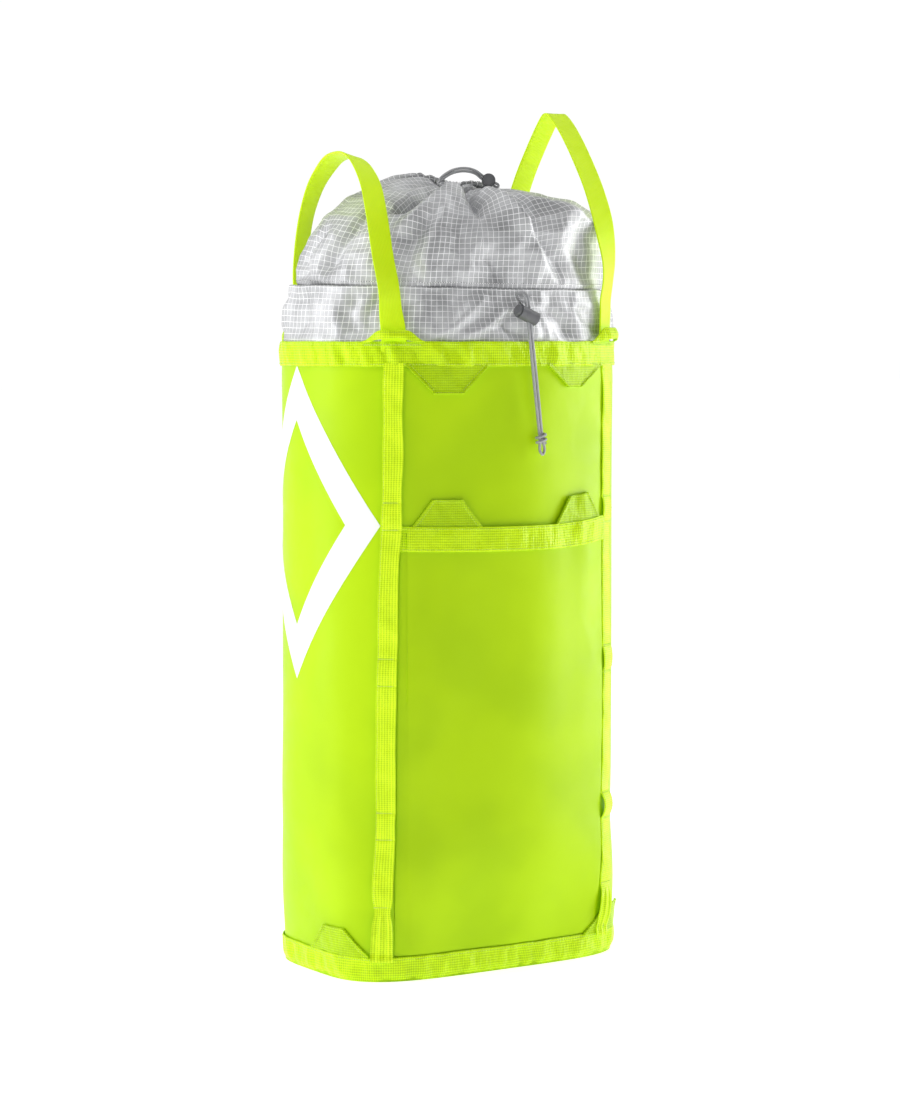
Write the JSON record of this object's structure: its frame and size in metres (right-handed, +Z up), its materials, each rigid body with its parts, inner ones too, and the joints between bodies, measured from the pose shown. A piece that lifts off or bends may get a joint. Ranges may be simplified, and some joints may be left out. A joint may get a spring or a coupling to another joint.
{
  "type": "rope storage bag",
  "caption": "Oval upright rope bag with coated tarp walls, webbing gear chains, flat front pocket, two carry handles and a light drawcord hood with cordlocks.",
  "frame": {"origin": "Middle of the underside, on the floor.", "axes": "+Z up; the front with the pocket faces -Y; the two handles stand on the left (-X) and right (+X) ends. Millimetres in the source, metres in the row."},
  "size_m": [0.3622, 0.2756, 0.8788],
  "materials": {
    "tarp": "semi-gloss coated tarp, lime",
    "webbing": "woven polyester webbing, lime",
    "ripstop": "shiny coated ripstop, silver with a white grid",
    "cord": "braided cord, grey",
    "lock_plastic": "moulded, dark grey",
    "spring_steel": "plain",
    "stiffener": "sheet"
  },
  "bodies": {
    "bag": {"front_panel": "tarp", "back_panel": "tarp", "left_side_panel": "tarp", "right_side_panel": "tarp", "base_panel": "tarp", "base_stiffener": "stiffener", "base_binding": "webbing", "rim_binding": "webbing", "pocket_panel": "tarp", "pocket_trim": "webbing", "daisy_chain_front_left": "webbing", "daisy_chain_front_right": "webbing", "daisy_chain_rear_left": "webbing", "daisy_chain_rear_right": "webbing", "rim_tab_left": "webbing", "rim_tab_right": "webbing", "pocket_tab_left": "webbing", "pocket_tab_right": "webbing", "base_tab_left": "webbing", "base_tab_right": "webbing", "handle_keeper_front_left": "webbing", "handle_keeper_front_right": "webbing", "handle_keeper_rear_left": "webbing", "handle_keeper_rear_right": "webbing", "handle_foot_front_left": "webbing", "handle_foot_front_right": "webbing", "handle_foot_rear_left": "webbing", "handle_foot_rear_right": "webbing", "hood_band": "ripstop", "hood_dome": "ripstop", "hood_hem": "ripstop", "cord_tab": "ripstop", "top_cordlock_body": "lock_plastic", "top_cordlock_spring": "spring_steel", "side_drawcord": "cord", "side_cord_knot": "cord", "top_drawcord": "cord"},
    "handle_left": {"handle_left": "webbing"},
    "handle_right": {"handle_right": "webbing"},
    "side_cordlock": {"side_cordlock_body": "lock_plastic", "side_cordlock_spring": "spring_steel"},
    "side_cordlock_button": {"side_cordlock_button": "lock_plastic"},
    "top_cordlock_button": {"top_cordlock_button": "lock_plastic"}
  },
  "joints": [
    {"name": "handle_left_swing", "type": "hinge", "parent": "bag", "child": "handle_left", "pos_m": [-0.1378, 0, 0.683], "axis": [-0.0718, -0.9974, 0], "range_deg": [0, 95]},
    {"name": "handle_right_swing", "type": "hinge", "parent": "bag", "child": "handle_right", "pos_m": [0.1408, 0, 0.683], "axis": [0, 1, 0], "range_deg": [0, 95]},
    {"name": "side_cordlock_slide", "type": "slide", "parent": "bag", "child": "side_cordlock", "axis": [0.1219, 0, -0.9925], "range_m": [0, 0.1]},
    {"name": "side_cordlock_press", "type": "slide", "parent": "side_cordlock", "child": "side_cordlock_button", "axis": [0.9205, 0, -0.3907], "range_m": [0, 0.003], "stiffness_N_per_m": 400, "springref_m": -0.002, "deforming": ["side_cordlock_spring"]},
    {"name": "top_cordlock_press", "type": "slide", "parent": "bag", "child": "top_cordlock_button", "axis": [0.5388, 0.8425, 0], "range_m": [0, 0.003], "stiffness_N_per_m": 400, "springref_m": -0.002, "deforming": ["top_cordlock_spring"]}
  ]
}
